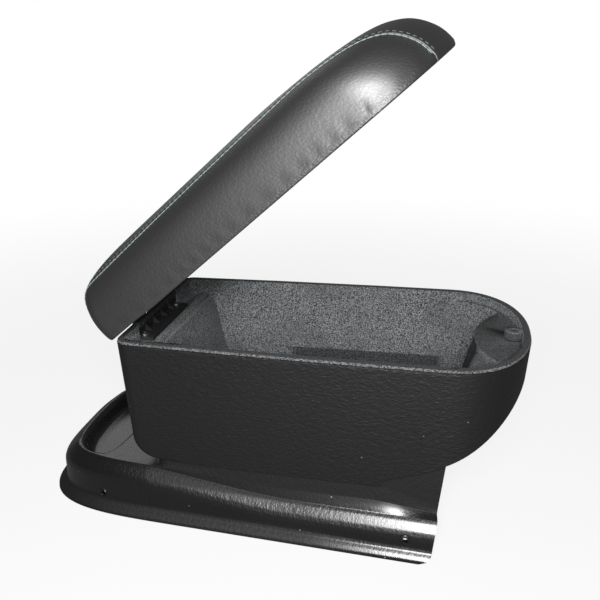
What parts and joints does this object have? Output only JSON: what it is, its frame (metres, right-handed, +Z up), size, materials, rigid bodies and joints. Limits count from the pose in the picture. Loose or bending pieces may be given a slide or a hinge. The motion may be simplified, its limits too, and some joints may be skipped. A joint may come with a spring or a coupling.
{
  "type": "car centre armrest",
  "caption": "Car centre armrest: open-bottomed saddle, flocked storage box with a rounded nose and a padded sewn lid on a rear pin hinge, drawn half open.",
  "frame": {"origin": "middle of the bounding box at ground level, with the lid open as drawn", "axes": "+X towards the rounded nose of the box, +Y to the far side of the picture, +Z up"},
  "size_m": [0.3863, 0.1948, 0.3579],
  "materials": {
    "abs_grained": "leather-grained vacuum-formed ABS, semi-gloss, scratched",
    "skin_grained": "fine leather-grained skin, satin",
    "flock": "grey nylon flock",
    "black_plastic": "moulded glass-filled nylon",
    "steel_plate": "zinc-plated sheet",
    "steel_pin": "plain steel",
    "zinc": "zinc-plated",
    "core_board": "moulded board",
    "foam": "polyurethane foam",
    "leather_cover": "grained leather with pale seam thread"
  },
  "bodies": {
    "console": {"console_saddle": "abs_grained", "box_shell": "skin_grained", "flocked_liner": "flock", "mounting_plate": "steel_plate", "box_bolts": "zinc", "bolt_washers": "zinc", "bolt_nuts": "zinc", "hinge_box_leaf": "black_plastic", "hinge_pin": "steel_pin", "box_leaf_screws": "zinc", "pin_clips": "steel_pin"},
    "lid": {"hinge_lid_leaf": "black_plastic", "lid_leaf_screws": "zinc", "lid_pan": "black_plastic", "lid_core": "core_board", "lid_foam": "foam", "lid_top_panel": "leather_cover", "lid_side_panel_near": "leather_cover", "lid_side_panel_far": "leather_cover", "pan_screws": "zinc"}
  },
  "joints": [
    {"name": "lid_hinge", "type": "hinge", "parent": "console", "child": "lid", "pos_m": [-0.1023, 0, 0.1485], "axis": [0, -1, 0], "range_deg": [-40.3, 50]}
  ]
}
